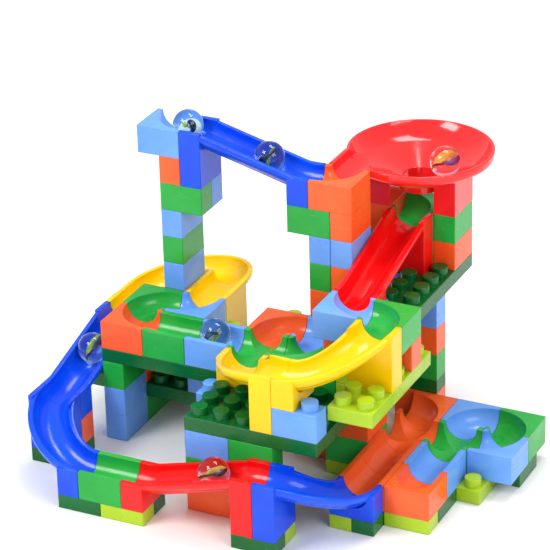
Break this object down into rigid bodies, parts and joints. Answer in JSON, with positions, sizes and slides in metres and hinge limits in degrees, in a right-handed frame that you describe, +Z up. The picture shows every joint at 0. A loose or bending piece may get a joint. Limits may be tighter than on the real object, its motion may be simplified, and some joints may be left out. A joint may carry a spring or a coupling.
{
  "type": "marble run",
  "caption": "Toy marble run of studded bricks and plates with half-pipe slides, curves, turning blocks and a funnel, and glass marbles that roll in its channels.",
  "frame": {"origin": "middle of the footprint at table level", "axes": "+Z up, +X along the long side from the tall slide tower's side to the ring of turning blocks, +Y from the low front slide to the funnel"},
  "size_m": [0.2398, 0.2178, 0.1648],
  "materials": {
    "blue": "glossy injection-moulded plastic",
    "red": "glossy injection-moulded plastic",
    "yellow": "glossy injection-moulded plastic",
    "green": "glossy injection-moulded plastic",
    "light_blue": "glossy injection-moulded plastic",
    "orange": "glossy injection-moulded plastic",
    "dark_green": "glossy injection-moulded plastic",
    "lime": "glossy injection-moulded plastic",
    "glass": "clear glass with a coloured vane"
  },
  "bodies": {
    "root": {"blue_left_curve": "blue", "blue_left_slide": "blue", "blue_right_curve": "blue", "blue_top_slide": "blue", "dark_green_plate_2x4": "dark_green", "dark_green_plate_6x8": "dark_green", "dark_green_plates_1x2": "dark_green", "dark_green_plates_2x2": "dark_green", "dark_green_plates_2x6": "dark_green", "green_brick_2x4": "green", "green_bricks_1x2": "green", "green_bricks_2x2": "green", "green_cross_blocks": "green", "green_quarter_blocks": "green", "green_straight_blocks": "green", "light_blue_brick_2x4": "light_blue", "light_blue_bricks_1x2_a": "light_blue", "light_blue_bricks_1x2_b": "light_blue", "light_blue_bricks_2x2": "light_blue", "light_blue_quarter_blocks": "light_blue", "light_blue_straight_blocks": "light_blue", "lime_plate_2x4": "lime", "lime_plates_1x2": "lime", "lime_plates_2x2": "lime", "lime_plates_2x6": "lime", "orange_brick_1x4": "orange", "orange_brick_2x4": "orange", "orange_bricks_1x2_high": "orange", "orange_bricks_1x2_low": "orange", "orange_bricks_2x2": "orange", "orange_cross_block": "orange", "orange_quarter_blocks": "orange", "orange_stop_block": "orange", "orange_straight_blocks": "orange", "red_funnel": "red", "red_lower_slide": "red", "red_upper_slide": "red", "yellow_back_turn": "yellow", "yellow_left_curve": "yellow", "yellow_right_curve": "yellow"},
    "marble_funnel": {"marble_funnel": "glass"},
    "marble_left_slide": {"marble_left_slide": "glass"},
    "marble_lower_slide": {"marble_lower_slide": "glass"},
    "marble_platform": {"marble_platform": "glass"},
    "marble_top_slide": {"marble_top_slide": "glass"},
    "marble_top_turn": {"marble_top_turn": "glass"}
  },
  "joints": [
    {"name": "top_turn_roll", "type": "hinge", "parent": "root", "child": "marble_top_turn", "pos_m": [-0.072, 0.03495, 0.1568], "axis": [0, 0, 1], "range_deg": [-85, 0]},
    {"name": "top_slide_roll", "type": "slide", "parent": "root", "child": "marble_top_slide", "axis": [0.9659, 0, -0.2587], "range_m": [-0.028, 0.013]},
    {"name": "funnel_orbit", "type": "hinge", "parent": "root", "child": "marble_funnel", "pos_m": [0.036, 0.07095, 0.1382], "axis": [0, 0, 1], "continuous": true},
    {"name": "platform_roll", "type": "slide", "parent": "root", "child": "marble_platform", "axis": [1, 0, 0], "range_m": [-0.024, 0.024]},
    {"name": "left_slide_roll", "type": "slide", "parent": "root", "child": "marble_left_slide", "axis": [0, -0.9659, -0.2587], "range_m": [-0.022, 0.022]},
    {"name": "lower_slide_roll", "type": "slide", "parent": "root", "child": "marble_lower_slide", "axis": [-0.9659, 0, -0.2587], "range_m": [-0.012, 0.032]}
  ]
}
